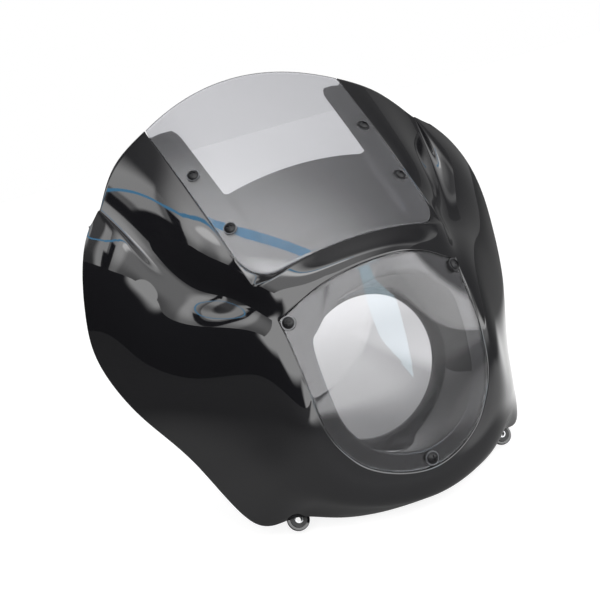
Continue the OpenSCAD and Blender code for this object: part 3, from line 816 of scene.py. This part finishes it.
BLACK = (0.006, 0.006, 0.007)
CLEAR = {"IOR": 1.49}
HAZE = "Transmission Weight"
black = grain(plain("shell_black", BLACK, 0.08, Coat_Weight=0.5, Coat_Roughness=0.02),
              60, 0, 0.02, 0.06)
smoke = grain(plain("windshield_smoke", (0.56, 0.562, 0.585), 0.0, **CLEAR),
              30, 0, 0.91, 0.93, HAZE)
lens_smoke = grain(plain("lens_smoke", (0.64, 0.64, 0.66), 0.0, **CLEAR), 30, 0, 0.99, 1.0, HAZE)
screw_black = grain(plain("screw_black", BLACK, 0.4, Specular_IOR_Level=0.3),
                    2500, 0.1, 0.34, 0.48)
bright = grain(plain("washer_bright", (0.13, 0.13, 0.135), 0.4, 1.0), 3000, 0.08, 0.34, 0.46)
rubber = grain(plain("rubber_black", (0.018, 0.018, 0.018), 0.6), 2200, 0.25, 0.5, 0.72)
steel = grain(plain("sleeve_steel", (0.38, 0.38, 0.39), 0.28, 1.0), 2600, 0.08, 0.2, 0.34)

# Pieces
shell = [shell_skin(black), bucket(black), lamp_ring(black), flange(black), sunken_panel(black)]
shell += lugs(black) + lug_webs(black)
for piece in shell:
    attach(piece, "root")
    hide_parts("fairing_shell")
windshield = panel_plate("windshield_plate", ws_loop(), WS_MID_Z, under_ws, WS_T, smoke)
drill(windshield, [(under_ws(x, z, 0.0), ws_in(x, z)) for x, z in WS_SCREWS], HOLE_R)
lens = panel_plate("lens_plate", lens_loop(), LENS_MID_Z, under_lens, LENS_T, lens_smoke)
drill(lens, [(under_lens(x, z, 0.0), lens_in(x, z)) for x, z in LENS_SCREWS], HOLE_R)
for piece, node, name in ((windshield, "windshield", "windshield_smoke"),
                          (lens, "headlight_lens", "lens_smoke")):
    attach(piece, "root")
    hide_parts(node)
for name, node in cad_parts.items():
    for part, material in (("_screw_", screw_black), ("_washer_", bright), ("well_nut", rubber),
                           ("grommet", rubber), ("sleeve", steel)):
        if part in name:
            node.data.materials.clear()
            node.data.materials.append(material)

# Camera, in the place from which the photograph was taken
camera = bpy.data.objects.new("camera", bpy.data.cameras.new("camera"))
right, up = (0.8863, -0.3921, -0.2466), (0.3079, 0.1009, 0.9461)
ahead = (0.3461, 0.9144, -0.2101)
camera_spot = (-0.4482, -1.0444, 0.3288)
camera.matrix_world = Matrix([(right[k], up[k], -ahead[k], camera_spot[k]) for k in range(3)]
                             + [(0, 0, 0, 1)])
camera.data.lens = 69
camera.data.sensor_width = 36
camera.data.clip_end = 100
bpy.context.scene.collection.objects.link(camera)
bpy.context.scene.camera = camera


# Levels of light: smooth steps of a coordinate, their products and their maxima
def ramp(tree, socket, low, high, to_low, to_high):
    """Smooth step of a socket from one value to another."""
    step = tree.nodes.new("ShaderNodeMapRange")
    step.interpolation_type = "SMOOTHSTEP"
    for key, value in (("From Min", low), ("From Max", high),
                       ("To Min", to_low), ("To Max", to_high)):
        step.inputs[key].default_value = value
    tree.links.new(socket, step.inputs["Value"])
    return step.outputs["Result"]


def chain(tree, operation, first, *others):
    for other in others:
        step = tree.nodes.new("ShaderNodeMath")
        step.operation = operation
        tree.links.new(first, step.inputs[0])
        tree.links.new(other, step.inputs[1])
        first = step.outputs[0]
    return first


def product(tree, *sockets):
    return chain(tree, "MULTIPLY", *sockets)


def highest(tree, *sockets):
    return chain(tree, "MAXIMUM", *sockets)


def band(tree, socket, low, full_from, full_to, high, level=1.0):
    """A level between two values of a socket, and none outside them."""
    return product(tree, ramp(tree, socket, low, full_from, 0.0, level),
                   ramp(tree, socket, full_to, high, 1.0, 0.0))


def gap(tree, socket, low, dim_from, dim_to, high, level=0.0):
    """A lower level between two values of a socket, and 1 outside them."""
    return highest(tree, ramp(tree, socket, low, dim_from, 1.0, level),
                   ramp(tree, socket, dim_to, high, level, 1.0))


def coordinates(tree, kind):
    return tree.nodes.new("ShaderNodeTexCoord").outputs[kind]


def parts(tree, vector, letters):
    axes = tree.nodes.new("ShaderNodeSeparateXYZ")
    tree.links.new(vector, axes.inputs[0])
    return [axes.outputs[letter] for letter in letters]


def ray_kinds(tree, *kinds):
    """Sockets that are 1 for rays of a kind and 0 for all others."""
    path = tree.nodes.new("ShaderNodeLightPath")
    return [path.outputs[f"Is {kind} Ray"] for kind in kinds]


def stage_sheet(name, points, faces, material, lights_object=True):
    """Stage piece of flat faces, given in metres."""
    mesh = bpy.data.meshes.new(name)
    mesh.from_pydata(points, [], faces)
    mesh.materials.append(material)
    piece = bpy.data.objects.new(name, mesh)
    piece.visible_diffuse = lights_object
    bpy.context.scene.collection.objects.link(piece)


def stage_plane(name, corners, height, material):
    stage_sheet(name, [(x, y, height) for x, y in corners], [(0, 1, 2, 3)], material)


def light_shader(name, colour=(1, 1, 1)):
    """Material that only gives light, and its shader."""
    material = plain(name, (0, 0, 0), 1.0)
    shader = material.node_tree.nodes["Principled BSDF"]
    shader.inputs["Emission Color"].default_value = (*colour, 1)
    return material, shader


# Floor, which is white to the camera and keeps the object's shadow. In reflections it glows
# only in front of the object and to its right: painted light standing in for a lit floor there
paper = plain("floor_white", (0.66, 0.66, 0.66), 0.9)
tree = paper.node_tree
paper_shader = tree.nodes["Principled BSDF"]
to_camera, to_clear, to_gloss = ray_kinds(tree, "Camera", "Transmission", "Glossy")
place = coordinates(tree, "Object")
x_at, y_at = parts(tree, place, "XY")
reach = tree.nodes.new("ShaderNodeVectorMath")
reach.operation = "LENGTH"
tree.links.new(place, reach.inputs[0])
away = reach.outputs["Value"]
direct = product(tree, to_camera, ramp(tree, away, 0.4, 0.75, 0.84, 1.0))
# Less glow near the object through clear parts: painted shade for the shell's shadow behind it
through = product(tree, to_clear, ramp(tree, away, 0.3, 0.95, 0.22, 1.0))
# Painted light: glow seen in reflections alone, in front of the object and to its right
front_painted_glow = product(tree, to_gloss, ramp(tree, y_at, -1.1, -0.6, 1.0, 0.0),
                   ramp(tree, x_at, -0.6, -0.3, 0.0, 1.0),
                   highest(tree, ramp(tree, x_at, 0.25, 0.6, 3.0, 1.0),
                           ramp(tree, away, 3.0, 4.5, 0.0, 3.0)))
side_painted_glow = product(tree, to_gloss, band(tree, x_at, 0.18, 0.26, 0.4, 0.6, 0.75),
                 ramp(tree, y_at, -0.5, -0.25, 0.0, 1.0))
tree.links.new(highest(tree, direct, through, front_painted_glow, side_painted_glow),
               paper_shader.inputs["Emission Strength"])
paper_shader.inputs["Emission Color"].default_value = (1, 1, 1, 1)
tree.links.new(ramp(tree, away, 0.3, 0.7, 0.28, 0.08), paper_shader.inputs["Base Color"])
stage_plane("floor", ((-6, -6), (6, -6), (6, 6), (-6, 6)), cad_box[0][2], paper)

# World: white behind the object, and a dim room in its reflections
world = bpy.data.worlds.new("studio")
world.use_nodes = True
bpy.context.scene.world = world
tree = world.node_tree
backdrop = tree.nodes["Background"]
to_camera, to_clear = ray_kinds(tree, "Camera", "Transmission")
x_at, y_at, z_at = parts(tree, coordinates(tree, "Generated"), "XYZ")
right_wall = ramp(tree, x_at, 0.3, 0.8, 0.0, 0.18)
left_end = highest(
    tree, ramp(tree, x_at, -0.44, -0.32, 0.0, 1.0),
    product(tree, ramp(tree, x_at, -0.7, -0.6, 0.0, 1.0), ramp(tree, z_at, 0.12, 0.25, 0.0, 1.0)),
    product(tree, ramp(tree, x_at, -0.86, -0.76, 0.0, 1.0), ramp(tree, z_at, 0.25, 0.4, 0.0, 1.0)))
front_wall = product(tree, ramp(tree, y_at, -0.42, -0.28, 3.6, 0.0), left_end)
back_wall = highest(tree, ramp(tree, y_at, 0.3, 0.9, 0.02, 0.16),
                    ramp(tree, y_at, 0.6, 0.9, 0.0, 0.45))
tree.links.new(highest(tree, to_camera, to_clear, right_wall, front_wall, back_wall),
               backdrop.inputs["Strength"])
backdrop.inputs["Color"].default_value = (1, 1, 1, 1)

# Ceiling, lit unevenly: brightest above the front, dim above the back, with a dark beam on the
# left that widens towards its far end, a row of lamps behind the beam and a window over the front
lit, lit_shader = light_shader("ceiling")
tree = lit.node_tree
x_at, y_at = parts(tree, coordinates(tree, "Object"), "XY")
general = product(tree, ramp(tree, y_at, -0.2, 0.4, 4.6, 1.1),
                  ramp(tree, y_at, -0.7, -0.35, 0.5, 1.0), ramp(tree, y_at, 0.35, 0.7, 1.0, 0.55),
                  ramp(tree, x_at, -0.6, 3.2, 1.0, 0.22), ramp(tree, x_at, -3.3, -1.7, 0.35, 0.75))
dim = highest(tree, gap(tree, x_at, -1.3, -1.0, -0.3, 0.1, 0.3),
              ramp(tree, y_at, 0.15, 0.4, 1.0, 0.3))
beam = highest(tree, ramp(tree, x_at, -1.7, -1.55, 0.0, 1.0),
               gap(tree, y_at, 0.0, 0.05, 0.22, 0.26))
far_beam = highest(tree, ramp(tree, x_at, -2.45, -2.25, 0.0, 1.0),
                   gap(tree, y_at, 0.0, 0.05, 0.43, 0.48))
lamps = product(tree, far_beam, ramp(tree, x_at, -1.3, -0.8, 2.6, 0.0),
                band(tree, y_at, 0.28, 0.34, 0.6, 0.75))
window = product(tree, band(tree, x_at, -1.6, -0.9, -0.1, 0.4, 6.0),
                 band(tree, y_at, -0.7, -0.4, -0.3, -0.18))
tree.links.new(highest(tree, product(tree, general, dim, beam, far_beam), lamps, window),
               lit_shader.inputs["Emission Strength"])
stage_plane("ceiling", ((-3.5, -2.2), (-3.5, 2.4), (6.0, 2.4), (6.0, -2.2)), 2.5, lit)


# Lit strips, seen in reflections alone
def strip(name, spine, across, colour, strength, taper=1.0):
    """Strip to both sides of a line of points, narrowed to a share of its width at the start."""
    spots = np.array(spine, float)
    n = len(spots)
    across = np.linspace(taper, 1, n)[:, None]*np.array(across, float)
    glow, shader = light_shader(name, colour)
    shader.inputs["Emission Strength"].default_value = strength
    stage_sheet(name, np.concatenate([spots + across, spots - across]).tolist(),
                [(k, k + 1, n + k + 1, n + k) for k in range(n - 1)], glow, False)


strip("blue_window", [(-2.0, 0.85, 2.45), (-1.85, 0.5, 2.45), (-1.6, 0.25, 2.45),
                      (-1.1, -0.02, 2.45), (-0.6, -0.14, 2.45), (0.3, -0.22, 2.45)],
      (0.02, 0.03, 0), (0.18, 0.58, 1.0), 3.4)
strip("front_window", [(0.0, -0.99, 0.21), (0.12, -0.97, 0.13), (0.27, -0.95, 0.02),
                       (0.37, -0.91, -0.02), (0.44, -0.88, -0.05)],
      (0.05, 0, 0.07), (0.75, 0.92, 1.0), 4.5, 0.3)

scene = bpy.context.scene
scene.view_settings.view_transform = "Standard"
scene.render.resolution_x = scene.render.resolution_y = 600
